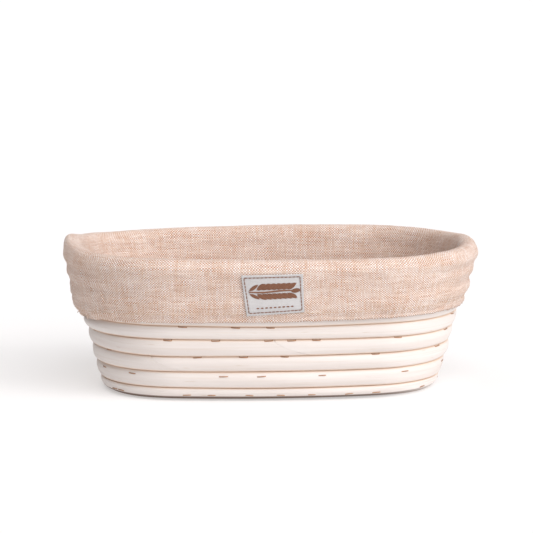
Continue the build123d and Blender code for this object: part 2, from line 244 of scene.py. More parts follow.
def grid(points, u, v, wrap_u=False, wrap_v=False, cap=False):
    """Vertices, faces and loop UVs of a grid of points. Where it wraps, u or v has one more
    value than the points, for the far side of the join."""
    rows, columns = points.shape[:2]
    i, j = np.meshgrid(np.arange(rows if wrap_u else rows - 1),
                       np.arange(columns if wrap_v else columns - 1), indexing="ij")
    i2, j2 = (i + 1) % rows, (j + 1) % columns
    faces = np.stack([i * columns + j, i2 * columns + j, i2 * columns + j2, i * columns + j2], -1)
    faces = faces.reshape(-1, 4).tolist()
    u = np.broadcast_to(u if np.ndim(u) == 2 else np.asarray(u)[:, None], (len(u), len(v)))
    v = np.broadcast_to(np.asarray(v)[None, :], u.shape)
    corners = [(i, j), (i + 1, j), (i + 1, j + 1), (i, j + 1)]
    uvs = np.stack([np.stack([u[a, b], v[a, b]], -1) for a, b in corners], 2).reshape(-1, 2)
    if cap:
        faces.append(list(range(columns - 1, -1, -1)))
        faces.append(list(range((rows - 1) * columns, rows * columns)))
        ends = [np.stack([u[k, :columns], v[k, :columns]], -1) for k in (0, -1)]
        uvs = np.concatenate([uvs, ends[0][::-1], ends[1]])
    return points.reshape(-1, 3), faces, uvs


def join(parts):
    """One set of vertices, faces and UVs from several."""
    vertices, faces, uvs, offset = [], [], [], 0
    for points, part_faces, part_uvs in parts:
        vertices.append(points)
        faces.extend([[index + offset for index in face] for face in part_faces])
        uvs.append(part_uvs)
        offset += len(points)
    return np.concatenate(vertices), faces, np.concatenate(uvs)


def tube(path, side, up, width, thickness, segments=8):
    """A wire or thread along a path: side and up are the section's axes at each point."""
    angles = np.linspace(0, 2 * math.pi, segments, endpoint=False)
    across = np.cos(angles)[None, :, None] * side[:, None, :] * width / 2
    rise = np.sin(angles)[None, :, None] * up[:, None, :] * thickness / 2
    points = path[:, None, :] + across + rise
    return grid(points, run_along(path), np.linspace(0, 2 * width, segments + 1), wrap_v=True, cap=True)


def finish_piece(piece, material, body, slot, *nodes):
    piece.data.materials.append(material)
    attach(piece, body)
    if nodes:
        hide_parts(*nodes)
    return piece


# ======== materials ========

class Nodes:
    """A material's node tree, written as expressions."""

    def __init__(self, name, roughness, specular=0.3, sheen=0.0):
        self.material = bpy.data.materials.new(name)
        self.material.use_nodes = True
        self.tree = self.material.node_tree
        self.shader = next(node for node in self.tree.nodes if node.type == "BSDF_PRINCIPLED")
        self.shader.inputs["Roughness"].default_value = roughness
        self.shader.inputs["Specular IOR Level"].default_value = specular
        self.shader.inputs["Sheen Weight"].default_value = sheen

    def put(self, socket, value):
        if isinstance(value, bpy.types.NodeSocket):
            self.tree.links.new(value, socket)
        else:
            socket.default_value = value

    def add(self, kind, inputs=None, **settings):
        node = self.tree.nodes.new(kind)
        for key, value in settings.items():
            setattr(node, key, value)
        for key, value in (inputs or {}).items():
            self.put(node.inputs[key], value)
        return node

    def math(self, operation, *values):
        node = self.add("ShaderNodeMath", operation=operation)
        for socket, value in zip(node.inputs, values):
            self.put(socket, value)
        return node.outputs[0]

    def vector(self, x, y, z=0.0):
        return self.add("ShaderNodeCombineXYZ", {"X": x, "Y": y, "Z": z}).outputs[0]

    def noise(self, vector, scale, detail=2.0, rough=0.5):
        inputs = {"Vector": vector, "Scale": scale, "Detail": detail, "Roughness": rough}
        return self.add("ShaderNodeTexNoise", inputs).outputs[0]

    def streaks(self, u, v, along, across, z=0.0, detail=3.0, rough=0.5):
        """Noise with its own scale along u and across it."""
        place = self.vector(self.math("MULTIPLY", u, along), self.math("MULTIPLY", v, across), z)
        return self.noise(place, 1.0, detail, rough)

    def range(self, value, low, high, to_low=0.0, to_high=1.0):
        inputs = {"Value": value, "From Min": low, "From Max": high,
                  "To Min": to_low, "To Max": to_high}
        return self.add("ShaderNodeMapRange", inputs).outputs[0]

    def mix(self, factor, first, second, blend="MIX"):
        node = self.add("ShaderNodeMix", data_type="RGBA", blend_type=blend)
        self.put(node.inputs[0], factor)
        self.put(node.inputs[6], (*first, 1) if isinstance(first, tuple) else first)
        self.put(node.inputs[7], (*second, 1) if isinstance(second, tuple) else second)
        return node.outputs[2]

    def thread(self):
        """Coordinates along the thread or fibre, and across it."""
        place = self.add("ShaderNodeUVMap", uv_map="thread").outputs[0]
        return self.add("ShaderNodeSeparateXYZ", {"Vector": place}).outputs[:2]

    def value(self, name):
        return self.add("ShaderNodeAttribute", attribute_name=name).outputs["Fac"]

    def colour(self, colour):
        self.put(self.shader.inputs["Base Color"], colour)

    def grey(self, shade):
        return self.add("ShaderNodeCombineColor", {0: shade, 1: shade, 2: shade}).outputs[0]

    def relief(self, height, distance, strength=1.0):
        inputs = {"Height": height, "Distance": distance, "Strength": strength}
        self.put(self.shader.inputs["Normal"], self.add("ShaderNodeBump", inputs).outputs[0])


def woven(name, pitch, warp, weft, slub, gap_shade, sheen=0.15, relief=0.16 * MM):
    """Plain weave: each of warp and weft is a pair of colours that its threads vary between,
    slub is how sharply one thread's colour differs from the next, and the last argument is
    how much painted shade darkens the gaps between threads."""
    n = Nodes(name, roughness=0.92, specular=0.12, sheen=sheen)
    u, v = n.thread()
    warp_sway = n.math("MULTIPLY", n.noise(n.vector(u, v), 90.0), 2.2)
    weft_sway = n.math("MULTIPLY", n.noise(n.vector(v, u), 70.0), 2.2)
    a = n.math("MULTIPLY_ADD", u, 1 / pitch, warp_sway)
    b = n.math("MULTIPLY_ADD", v, 1 / pitch, weft_sway)
    ia, ib = n.math("FLOOR", a), n.math("FLOOR", b)
    fa, fb = n.math("FRACT", a), n.math("FRACT", b)
    warp_tone = n.streaks(ia, v, 7.31, 60.0, rough=0.7)
    weft_tone = n.streaks(ib, u, 5.77, 60.0, 4.0, rough=0.7)
    drift = n.noise(n.vector(n.math("MULTIPLY", u, 0.7), v, 9.0), 55.0, 4.0, 0.65)
    drift = n.math("MULTIPLY_ADD", drift, 0.26, -0.13)
    warp_share = n.range(n.math("ADD", warp_tone, drift), 0.5 - slub, 0.5 + slub)
    weft_share = n.range(n.math("ADD", weft_tone, drift), 0.5 - slub, 0.5 + slub)
    on_top = n.math("PINGPONG", n.math("ADD", ia, ib), 1.0)
    colour = n.mix(on_top, n.mix(warp_share, *warp), n.mix(weft_share, *weft))
    round_a = n.math("SINE", n.math("MULTIPLY", fa, math.pi))
    round_b = n.math("SINE", n.math("MULTIPLY", fb, math.pi))
    warp_height = n.math("MULTIPLY", round_a, n.math("MULTIPLY_ADD", round_b, 0.45, 0.55))
    weft_height = n.math("MULTIPLY", round_b, n.math("MULTIPLY_ADD", round_a, 0.45, 0.55))
    height = n.add("ShaderNodeMix", {0: on_top, 2: warp_height, 3: weft_height},
                   data_type="FLOAT").outputs[0]
    # painted shade: the colour is darkened where the threads dip into the gaps between them
    depth = n.range(height, 0.0, 0.8, 1 - gap_shade, 1.0)
    n.colour(n.mix(1.0, colour, n.grey(depth), "MULTIPLY"))
    fuzz = n.noise(n.vector(u, v), 2600.0, 2.0)
    n.relief(n.math("MULTIPLY_ADD", fuzz, 0.35, height), relief)
    return n.material


def cane_material():
    """Pale cane: fibres along its length, tan in the lips of the seams, partly the cane's own colour
    and partly painted shade of the seam grooves, and a painted shadow under the lowest hoop.
    """
    n = Nodes("pale_cane", roughness=0.55, specular=0.3)
    u, v = n.thread()
    fibre = n.streaks(u, v, 14.0, 1100.0, detail=4.0, rough=0.6)
    broad = n.streaks(u, v, 9.0, 160.0, 3.0)
    fleck = n.streaks(u, v, 60.0, 700.0, 7.0, detail=2.0)
    base = n.mix(n.range(broad, 0.3, 0.7), (0.735, 0.665, 0.628), (0.79, 0.735, 0.704))
    streaked = n.mix(n.range(fibre, 0.52, 0.78, 0.0, 0.42), base, (0.64, 0.52, 0.42))
    flecked = n.mix(n.range(fleck, 0.68, 0.8, 0.0, 0.5), streaked, (0.50, 0.34, 0.21))
    # the lips are tan: partly the cane's own colour, partly painted shade in the grooves between hoops
    lipped = n.mix(n.math("MULTIPLY", n.value("lip"), 0.75), flecked, (0.74, 0.53, 0.38))
    # painted shadow: dark brown where the "foot" attribute marks the underside of the lowest hoop
    n.colour(n.mix(n.math("MULTIPLY", n.value("foot"), 0.94), lipped, (0.11, 0.05, 0.024)))
    n.relief(n.math("ADD", fibre, n.math("MULTIPLY", broad, 0.6)), 0.12 * MM, 0.7)
    return n.material


def wire_material(name, has_thread=True):
    """Dull copper-washed staple wire, darker where it has tarnished. Staples kept from the
    frame have no thread coordinates, so theirs is laid out in space."""
    n = Nodes(name, roughness=0.42, specular=0.5)
    if has_thread:
        tone = n.streaks(*n.thread(), 300.0, 900.0)
    else:
        tone = n.noise(n.add("ShaderNodeTexCoord").outputs["Object"], 900.0, 3.0)
    n.colour(n.mix(n.range(tone, 0.35, 0.7), (0.50, 0.27, 0.15), (0.27, 0.14, 0.08)))
    n.shader.inputs["Metallic"].default_value = 0.3
    n.relief(tone, 0.05 * MM, 0.6)
    return n.material


def thread_material(name, light, dark, pitch=0.7 * MM):
    """Twisted thread: slanting plies, a little fuzzy."""
    n = Nodes(name, roughness=0.8, specular=0.2, sheen=0.1)
    u, v = n.thread()
    twist = n.math("SINE", n.math("MULTIPLY", n.math("ADD", u, n.math("MULTIPLY", v, 0.8)),
                                  2 * math.pi / pitch))
    tone = n.streaks(u, v, 400.0, 900.0)
    shade = n.math("MULTIPLY_ADD", twist, 0.25, tone)
    n.colour(n.mix(n.range(shade, 0.2, 0.8), dark, light))
    n.relief(shade, 0.08 * MM)
    return n.material


def floor_material():
    n = Nodes("studio_floor", roughness=0.9, specular=0.1)
    place = n.add("ShaderNodeTexCoord").outputs["Object"]
    tone = n.noise(place, 6.0, 2.0)
    n.colour(n.mix(tone, (0.50, 0.50, 0.505), (0.51, 0.51, 0.515)))
    n.shader.inputs["Emission Color"].default_value = (1.0, 0.97, 0.955, 1)
    n.shader.inputs["Emission Strength"].default_value = FLOOR_GLOW
    return n.material


# ======== cane wall ========

def seam_half(height):
    return BASE_HALF + WALL_FLARE * (np.maximum(height, 0) / WALL_HEIGHT) ** FLARE_POWER


def rim_sway(distance):
    """How far the rim rises and dips from level."""
    return round_oval(distance, RIM_SWAY) * MM


def seam_height(seam, distance):
    """A seam's real height, which wanders a little round the basket."""
    if seam == 0:
        return np.zeros(np.shape(distance))
    if seam == LEVELS:
        return SEAMS[LEVELS] - 0.5 * MM + 0.6 * rim_sway(distance)
    wander = soft_noise(distance, 0.0, 70 * MM, 1.0, 40 + seam)
    return SEAMS[seam] + 0.22 * MM * wander


def bareness(level):
    """1 for the hoops below the cuff, 0 for those under it."""
    middle = (SEAMS[level - 1] + SEAMS[level]) / 2
    return float(smooth_step((HEM_LOW + 12 * MM - middle) / (14 * MM)))


def face_bulge(level):
    """How far a hoop's outer face stands out between its seams."""
    return CANE_BULGE + BARE_BULGE * bareness(level)


def cane_faces(level, distance, part):
    """Outer and inner half length of a hoop, at a share of its height."""
    bottom, top = SEAMS[level - 1], SEAMS[level]
    foot, head = seam_half(bottom), seam_half(top)
    foot_in, head_in = foot - SEAM_THICKNESS, head - SEAM_THICKNESS
    if level == 1:
        foot = foot - FOOT_SET_BACK * (1 - 0.8 * endness(distance))
        foot_in = head_in = FLOOR_HALF + SEAM_GAP
    left, right = end_shares(distance)
    swell = 1 + 0.22 * soft_noise(distance, 0.0, 45 * MM, 1.0, 60 + level)
    swell = swell * (1 - 0.5 * right * bareness(level))
    bow = swell * (1 - np.abs(2 * part - 1) ** 2.2)
    drift = 0.18 * MM * soft_noise(distance, 0.0, 90 * MM, 1.0, 80 + level)
    stepped = 1 + (1.9 * left - 0.6 * right) * bareness(level)
    shingle = 0 if level == 1 else SHINGLE * stepped * (1 - 2 * part)
    outer = foot + (head - foot) * part + face_bulge(level) * bow + drift + shingle
    inner = foot_in + (head_in - foot_in) * part
    if level == 1:
        undercut = FOOT_UNDERCUT * (1 - 0.5 * endness(distance))
        return outer - undercut * np.clip(1 - part / UNDERCUT_SHARE, 0, 1) ** 1.5, inner
    return outer, inner - CANE_BULGE * bow


def rounded_section(face_points, corner_points, round_across, round_up):
    """A cane's section as a loop of (across, up), each from -1 to 1: outer face first."""
    turn = np.linspace(0, math.pi / 2, corner_points + 2)[1:-1]
    face = np.linspace(-1 + round_up, 1 - round_up, face_points)
    edge = np.linspace(1 - round_across, -1 + round_across, 4)
    across, up = [np.ones(face_points)], [face]
    across += [1 - round_across + round_across * np.cos(turn), edge]
    up += [1 - round_up + round_up * np.sin(turn), np.ones(4)]
    across += [-1 + round_across - round_across * np.sin(turn), -np.ones(face_points)]
    up += [1 - round_up + round_up * np.cos(turn), face[::-1]]
    across += [-1 + round_across - round_across * np.cos(turn), edge[::-1]]
    up += [-1 + round_up - round_up * np.sin(turn), -np.ones(4)]
    across += [1 - round_across + round_across * np.sin(turn)]
    up += [-1 + round_up - round_up * np.cos(turn)]
    return np.concatenate(across), np.concatenate(up)


def grain(distance, around, seed):
    """Fine relief of the cane's fibres."""
    coarse = soft_noise(distance, around, 34 * MM, 1.4 * MM, seed)
    fine = soft_noise(distance, around, 16 * MM, 0.6 * MM, seed + 1)
    return 0.05 * MM * coarse + 0.03 * MM * fine


def lip_of(place, depth):
    """1 at the edges of a section, from -1 to 1, and 0 between them."""
    return smooth_step((np.abs(place) - (1 - depth)) / depth)


def along_cane(start, slant, count):
    """Distances along a cane whose two ends meet in a slanted cut."""
    steps = np.linspace(0, 1, count)[:, None]
    return start + slant + SCARF_GAP / 2 + steps * (PERIMETER - SCARF_GAP)


def cane_surface(points, run, around):
    """Grid of a cane, with its fibres along it."""
    return grid(points, np.repeat(run, len(around) + 1, 1),
                np.append(around, around[-1] + 1 * MM), wrap_v=True, cap=True)


def cane_object(name, grid_of, shades):
    """A cane's mesh, with crisp edges where its cut ends meet."""
    made = new_object(name, *grid_of, shades)
    made.data.set_sharp_from_angle(angle=math.radians(60))
    return made


def wall_cane(level):
    """One hoop: a single cane, its two ends meeting in a long slanted cut."""
    is_rim = level == LEVELS
    round_across, round_up = (0.95, 0.5) if is_rim else (0.24, 0.17)
    across, up = rounded_section(15, 3, round_across, round_up)
    part = (up + 1) / 2
    around = np.concatenate([[0], np.cumsum(np.hypot(np.diff(across) * 4, np.diff(up) * 5))]) * MM
    start = WALL_SCARFS[level - 1] * MM
    slant = SCARF_RUN * ((1 - part) ** 1.6 - 0.5)[None, :]
    distance = along_cane(start, slant, 430)
    outer, inner = cane_faces(level, distance, part[None, :])
    bottom = seam_height(level - 1, distance) + (SEAM_GAP if level > 1 else 0)
    top = seam_height(level, distance)
    half = (outer + inner) / 2 + across[None, :] * (outer - inner) / 2
    height = bottom + (top - bottom) * part[None, :]
    half = half + np.sign(across)[None, :] * grain(distance, around[None, :], 100 + 2 * level)
    points = on_oval(distance, half, height)
    surface = cane_surface(points, distance[:, :1] - start + 3 * level, around)
    lips = np.broadcast_to(lip_of(up, 0.26), points.shape[:2])
    # painted shadow under the lowest hoop: dark up to a set height, weaker towards the lit right end
    unlit_side_share = 1 - 0.85 * np.clip(station(distance)[1][..., 0], 0, 1) ** 1.5
    painted_foot_shadow = smooth_step((FOOT_SHADOW_HEIGHT - height) / (0.7 * MM)) * unlit_side_share
    return cane_object(f"hoop_{level}", surface, {"lip": lips, "foot": painted_foot_shadow})


def floor_ring(index):
    """One cane of the floor, flat below and crowned above."""
    across, up = rounded_section(9, 3, 0.24, 0.24)
    inner = LENGTH_EXCESS + FLOOR_CANE_WIDTH * index + SEAM_GAP
    outer = inner + FLOOR_CANE_WIDTH - SEAM_GAP
    half = (inner + outer) / 2 + across * (outer - inner) / 2
    crown = 1 - 0.16 * (across**2)
    height = np.where(up > 0, (0.5 + up / 2) * crown, 0.5 + up / 2) * FLOOR_THICKNESS
    around = np.concatenate([[0], np.cumsum(np.hypot(np.diff(half), np.diff(height)))])
    start = FLOOR_SCARFS[index - 1] * MM
    distance = along_cane(start, FLOOR_SCARF_RUN * across[None, :] / 2, 360)
    wobble = grain(distance, around[None, :], 140 + 2 * index)
    rise = np.broadcast_to(height, distance.shape) + wobble * (up > 0.2)
    points = on_oval(distance, half[None, :], rise)
    surface = cane_surface(points, distance[:, :1] - start + index, around)
    lips = np.broadcast_to(smooth_step((np.abs(across) - 0.84) / 0.16), points.shape[:2])
    return cane_object(f"floor_ring_{index}", surface, {"lip": lips})


def floor_core():
    """The hairpin in the middle of the floor: one cane bent back on itself."""
    outer_half = LENGTH_EXCESS + FLOOR_CANE_WIDTH
    steps = all_round(300)
    outer = on_oval(steps, outer_half, 0.0)[:, :2]
    spine_x = np.clip(outer[:, 0], -(outer_half - 7 * MM), outer_half - 7 * MM)
    spine = np.stack([spine_x, np.sign(outer[:, 1]) * 0.12 * MM], -1)
    share = np.array([0, 0, 0.03, 0.1, 0.22, 0.36, 0.5, 0.64, 0.78, 0.9, 0.97, 1, 1])
    lift = np.array([0.2, 0.8, 0.93, 0.975, 0.995, 1, 1, 0.995, 0.98, 0.96, 0.92, 0.86, 0.2])
    under_share = np.array([0.97, 0.9, 0.5, 0.1, 0.03])
    under_lift = np.array([0.03, 0.0, 0.0, 0.0, 0.03])
    share, lift = np.concatenate([share, under_share]), np.concatenate([lift, under_lift])
    plan = outer[:, None, :] * (1 - share[None, :, None]) + spine[:, None, :] * share[None, :, None]
    around = share * FLOOR_CANE_WIDTH
    height = np.broadcast_to(lift * FLOOR_THICKNESS, plan.shape[:2])
    wobble = grain(steps[:, None] * 0.3, around[None, :], 160)
    height = height + wobble * (lift > 0.5)[None, :]
    points = np.concatenate([plan, height[..., None]], -1)
    surface = grid(points, np.append(steps, PERIMETER / 2), np.append(around, 0.0),
                   wrap_u=True, wrap_v=True)
    lips = np.broadcast_to((share < 0.02) | (share > 0.98), points.shape[:2])
    return cane_object("floor_hairpin", surface, {"lip": lips.astype(float)})


# ======== staples ========

def staple_places(node):
    """Distance round the oval and height of each staple's crown, from the frame's own solids."""
    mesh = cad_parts[node].data
    points = np.array([vertex.co[:] for vertex in mesh.vertices])
    merged, first = {}, []
    for index, point in enumerate(points):
        first.append(merged.setdefault(tuple(np.round(point, 6)), index))
    links = list(range(len(points)))

    def root(index):
        while links[index] != index:
            links[index] = links[links[index]]
            index = links[index]
        return index

    for polygon in mesh.polygons:
        corners = [first[index] for index in polygon.vertices]
        for other in corners[1:]:
            links[root(other)] = root(corners[0])
    groups = {}
    for index in range(len(points)):
        groups.setdefault(root(first[index]), []).append(index)
    table = all_round(4000)
    foot, outward = station(table)
    places = []
    for members in groups.values():
        own = points[members]
        offset = own[:, :2].mean(0) - foot
        reach = (offset * outward).sum(1)
        aside = np.linalg.norm(offset - reach[:, None] * outward, axis=1)
        miss = np.where(reach > 0.6 * REFERENCE_HALF, aside, 1)
        best = int(np.argmin(miss))
        depth = ((own[:, :2] - foot[best]) * outward[best]).sum(1)
        crown = own[depth > depth.max() - 0.5 * MM]
        places.append((table[best], crown[:, 2].mean()))
    return sorted(places)


def staple_wire(distance, height, half, rise_angle, random):
    """One bent wire: a low crown along the cane and two legs running into it."""
    length = 4.9 * MM * random.uniform(0.88, 1.06)
    leg = 3.4 * MM
    tilt = math.radians(random.normal(0, 2.5))
    [foot], [outward] = station(np.array([distance]))
    out = np.array([*outward, 0.0])
    along = np.array([-outward[1], outward[0], 0.0])
    up = np.array([0.0, 0.0, 1.0])
    centre = np.array([*(foot + half * outward), height])
    inward = -out * math.cos(rise_angle) + up * math.sin(rise_angle)
    along = along * math.cos(tilt) + up * math.sin(tilt)
    places = np.linspace(-0.5, 0.5, 9)
    bow = 0.22 * MM * (1 - (2 * places) ** 4) + random.uniform(0.0, 0.08) * MM
    crown = centre + places[:, None] * length * along + bow[:, None] * out
    ends = [crown[0] + inward * leg * share for share in (1.0, 0.5, 0.12)]
    other = [crown[-1] + inward * leg * share for share in (0.12, 0.5, 1.0)]
    path = np.concatenate([ends, crown, other])
    tangent = unit(np.gradient(path, axis=0))
    side = unit(np.cross(tangent, out + 0.3 * up))
    return tube(path, side, np.cross(side, tangent), 0.62 * MM, 0.42 * MM)


def staple_row(name, node, level, rise_angle, seed):
    """The staples of one row, bent into the hoop's real surface."""
    random = np.random.default_rng(seed)
    wires = []
    for distance, height in staple_places(node):
        bottom, top = (seam_height(seam, np.array(distance)) for seam in (level - 1, level))
        part = np.clip((height - SEAMS[level - 1]) / (SEAMS[level] - SEAMS[level - 1]), 0, 0.97)
        outer = cane_faces(level, np.array(distance), part)[0]
        place = bottom + (top - bottom) * part
        wires.append(staple_wire(distance, float(place), float(outer), rise_angle, random))
    return new_object(name, *join(wires))


# ======== liner ========

def smooth_line(points, spacing):
    """A smooth line through points, sampled at an even spacing."""
    points = np.array(points, float)
    before, after = 2 * points[0] - points[1], 2 * points[-1] - points[-2]
    padded = np.concatenate([[before], points, [after]])
    parts = np.linspace(0, 1, 24, endpoint=False)[:, None]
    pieces = []
    for p0, p1, p2, p3 in zip(padded, padded[1:], padded[2:], padded[3:]):
        chord = np.linalg.norm(p2 - p1)
        m1 = (p2 - p0) / (np.linalg.norm(p1 - p0) + chord) * chord
        m2 = (p3 - p1) / (np.linalg.norm(p3 - p2) + chord) * chord
        t2, t3 = parts**2, parts**3
        pieces.append((2 * t3 - 3 * t2 + 1) * p1 + (t3 - 2 * t2 + parts) * m1
                      + (3 * t2 - 2 * t3) * p2 + (t3 - t2) * m2)
    line = np.concatenate([*pieces, points[-1:]])
    run = run_along(line)
    even = np.linspace(0, run[-1], round(run[-1] / spacing) + 1)
    return even, np.stack([np.interp(even, run, line[:, k]) for k in (0, 1)], -1)


def inner_wall(height):
    return seam_half(height) - SEAM_THICKNESS - CANE_BULGE - LINER_GAP - CLOTH / 2 - 0.2 * MM


def liner_profile():
    """The liner's side cloth in section, from the floor seam up, over the rim and down to the
    hem, then turned in and up behind it."""
    bottom = FLOOR_THICKNESS + LINER_GAP + 1.0 * MM
    middle = seam_half(WALL_HEIGHT) - SEAM_THICKNESS / 2
    wall = [(inner_wall(z), z) for z in np.linspace(bottom, 80 * MM, 6)]
    rim = [(middle - 5.4 * MM, RIM_CROWN - 3.4 * MM), (middle - 2.9 * MM, RIM_CROWN - 0.75 * MM),
           (middle + 0.4 * MM, RIM_CROWN), (middle + 3.8 * MM, RIM_CROWN - 1.2 * MM)]
    cuff = [(half * MM, height * MM) for half, height in CUFF_OUTLINE]
    hem_half, hem_height = cuff[-1]
    fold = [(hem_half - 0.5 * MM, HEM_LOW), (hem_half - 1.25 * MM, hem_height - 0.3 * MM),
            (hem_half - 1.1 * MM, hem_height + 3 * MM), (hem_half - 0.6 * MM, hem_height + 7 * MM)]
    return smooth_line(wall + rim + cuff + fold, 0.95 * MM)


def cane_clearance(height):
    """Half length of the canes' outer faces, which the cuff stays outside."""
    face = np.zeros(np.shape(height))
    for level in range(1, LEVELS + 1):
        part = (height - SEAMS[level - 1]) / (SEAMS[level] - SEAMS[level - 1])
        inside = (part >= 0) & (part <= 1)
        bow = face_bulge(level) * (1 - np.abs(2 * np.clip(part, 0, 1) - 1) ** 2.2)
        face = np.where(inside, seam_half(height) + bow, face)
    return face


def cloth_relief(distance, run, height, on_cuff, on_wall, to_hem):
    """How far the cloth stands off its smooth line: slack, wrinkles, puckers and gathers."""
    ends = endness(distance)
    slack = 0.42 * MM * soft_noise(distance, run, 52 * MM, 24 * MM, 1)
    ripple = 0.14 * MM * soft_noise(distance, run, 15 * MM, 8 * MM, 2)
    fine = 0.05 * MM * soft_noise(distance, run, 5 * MM, 3.5 * MM, 3)
    wrinkle = soft_noise(distance, run + 0.12 * distance, 26 * MM, 1.7 * MM, 4)
    wrinkle = 0.2 * MM * wrinkle * ends * on_cuff * smooth_step((82 * MM - height) / (14 * MM))
    gather = soft_noise(distance, run, 3.1 * MM, 13 * MM, 5)
    gather = gather + 0.6 * soft_noise(distance, run, 5.5 * MM, 22 * MM, 6)
    near_hem = np.exp(-to_hem / (7 * MM)) + 0.25 * np.exp(-to_hem / (18 * MM))
    gather = 0.3 * MM * gather * near_hem * (0.45 + 0.9 * ends) * on_cuff
    coils = np.cos(2 * math.pi * np.interp(height, SEAMS, np.arange(LEVELS + 1)))
    coils = -coils * (0.13 * MM * on_wall + 0.5 * MM * on_cuff * ends)
    return slack * (0.35 + 0.65 * (on_cuff + on_wall)) + ripple + fine + wrinkle + gather + coils


# single creases of the cuff: start and end as (distance, height), width and depth, all in mm
PUCKERS = (
    ((-129, 79), (-121, 67), 1.1, 0.75),        # short pulls at the left end
    ((-112, 70), (-108, 62), 1.0, 0.75),
    ((-119, 63), (-112, 51), 1.2, 0.525),
    ((-152, 66), (-141, 63), 3.2, 1.1),         # a dimple beside them
    ((-76, 78.6), (-24, 78.9), 0.9, 0.3),       # a long soft fold in front
    ((112, 71), (140, 73), 1.0, 0.35),          # level pulls at the right end
    ((118, 66), (146, 68.5), 0.9, 0.35),
    ((104, 62), (134, 64), 0.9, 0.28),
)


def puckers(distance, height):
    return -MM * sum(depth * crease(distance, height, start, end, width)
                     for start, end, width, depth in PUCKERS)


def shoulders(distance, past_crest):
    """The cloth is bunched square over the rim at the two ends."""
    left = 2.2 * bump(distance, -166 * MM, 26 * MM)
    right = 0.6 * bump(distance, 170 * MM, 24 * MM)
    return MM * bump(past_crest, 3.2 * MM, 3.4 * MM) * (left + right)


def cuff_height(base_height, distance):
    """The cuff's own height at a station: its hem rises and falls round the basket."""
    hem = round_oval(distance, HEM_HEIGHTS) * MM
    lowest = min(HEM_HEIGHTS.values()) * MM
    stretch = (CUFF_TOP - hem) / (CUFF_TOP - lowest)
    return np.where(base_height < CUFF_TOP, CUFF_TOP - (CUFF_TOP - base_height) * stretch, base_height)


def liner_points():
    """The liner's side cloth: half lengths and heights on a grid of distances round the oval and
    places along the run of the cloth, and which of those places are outside on the cuff."""
    run, line = liner_profile()
    tangent = unit(np.gradient(line, axis=0))
    normal = np.stack([-tangent[:, 1], tangent[:, 0]], -1)
    crest = int(np.argmax(line[:, 1]))
    hem = crest + int(np.argmin(line[crest:, 1]))
    step = np.arange(len(run))
    outside = step > crest
    folded = step > hem
    on_cuff = smooth_step((run - run[crest] - 3 * MM) / (9 * MM)) * ~folded
    on_wall = smooth_step((run[crest] - 4 * MM - run) / (10 * MM)) * smooth_step(run / (8 * MM))
    to_hem = np.abs(run[hem] - run)
    distance = all_round(STATION_COUNT)[:, None]
    height = np.where(outside, cuff_height(line[:, 1][None, :], distance), line[:, 1][None, :])
    height = height + rim_sway(distance) * bump(run, run[crest] + 2 * MM, 22 * MM)[None, :]
    relief = cloth_relief(distance, run[None, :], height, on_cuff, on_wall, to_hem[None, :])
    relief = relief + puckers(distance, height) * on_cuff
    relief = relief + shoulders(distance, run[None, :] - run[crest])
    relief = relief * np.where(folded, 0.0, 1.0)
    half = line[:, 0] + relief * normal[:, 0]
    height = height + relief * normal[:, 1]
    spare = np.where(folded, 0.75 * MM, (0.75 + 1.15 * smooth_step(1 - to_hem / (9 * MM))) * MM)
    half = np.where(outside & (height < RIM_LOW),
                    np.maximum(half, cane_clearance(height) + spare), half)
    return SimpleNamespace(distance=distance[:, 0], run=run, cuff=slice(crest, hem + 1),
                           half=half, height=height)


LINER = liner_points()


def liner_side():
    """The side of the liner and its cuff, one strip of cloth."""
    points = on_oval(LINER.distance[:, None], LINER.half, LINER.height)
    around = np.append(LINER.distance, PERIMETER / 2)
    made = new_object("liner_side", *grid(points, around, LINER.run, wrap_u=True))
    add_thickness(made, CLOTH)
    return made


def add_thickness(piece, thickness):
    solid = piece.modifiers.new("thickness", "SOLIDIFY")
    solid.thickness = thickness
    solid.offset = 0
    solid.use_rim = True


def oval_sheet(half, spacing, height_of):
    """Grid of an oval cloth, from its edge to the line between the end centres."""
    distance = all_round(400)
    outer = on_oval(distance, half, 0.0)[:, :2]
    reach = half - 30 * MM
    spine = np.stack([np.clip(outer[:, 0], -reach, reach), 0 * outer[:, 1]], -1)
    share = np.linspace(0, 1, round(half / spacing / 2))[None, :, None]
    plan = outer[:, None, :] * (1 - share) + spine[:, None, :] * share
    return np.concatenate([plan, height_of(plan)[..., None]], -1)


def liner_floor():
    """The oval cloth at the bottom of the liner, lying on the canes."""
    level = FLOOR_THICKNESS + LINER_GAP + CLOTH / 2 + 0.2 * MM

    def height_of(plan):
        x, y = plan[..., 0], plan[..., 1]
        slack = 0.22 * MM * soft_noise(x * 1.3 + y, y, 42 * MM, 30 * MM, 11)
        fine = 0.06 * MM * soft_noise(x, y, 9 * MM, 8 * MM, 12)
        return level + np.maximum(slack + fine + 0.2 * MM, 0)

    points = oval_sheet(inner_wall(FLOOR_THICKNESS) - 0.3 * MM, 1.6 * MM, height_of)
    made_points, faces, _ = grid(points, np.zeros(points.shape[0] + 1), np.zeros(points.shape[1]),
                                 wrap_u=True)
    uvs = made_points[np.array(faces).ravel(), :2] + np.array([0.31, 0.17])
    made = new_object("liner_base", made_points, faces, uvs)
    add_thickness(made, CLOTH)
    return made


def outside_line(distance):
    """The cuff's outer line at a station: heights going up, and half lengths."""
    count = len(LINER.distance)
    column = np.mod((distance + PERIMETER / 2) / PERIMETER * count, count)
    low = int(column)
    part = column - low
    rows = [(LINER.height[k % count, LINER.cuff], LINER.half[k % count, LINER.cuff])
            for k in (low, low + 1)]
    return tuple((rows[0][k] * (1 - part) + rows[1][k] * part)[::-1] for k in (0, 1))


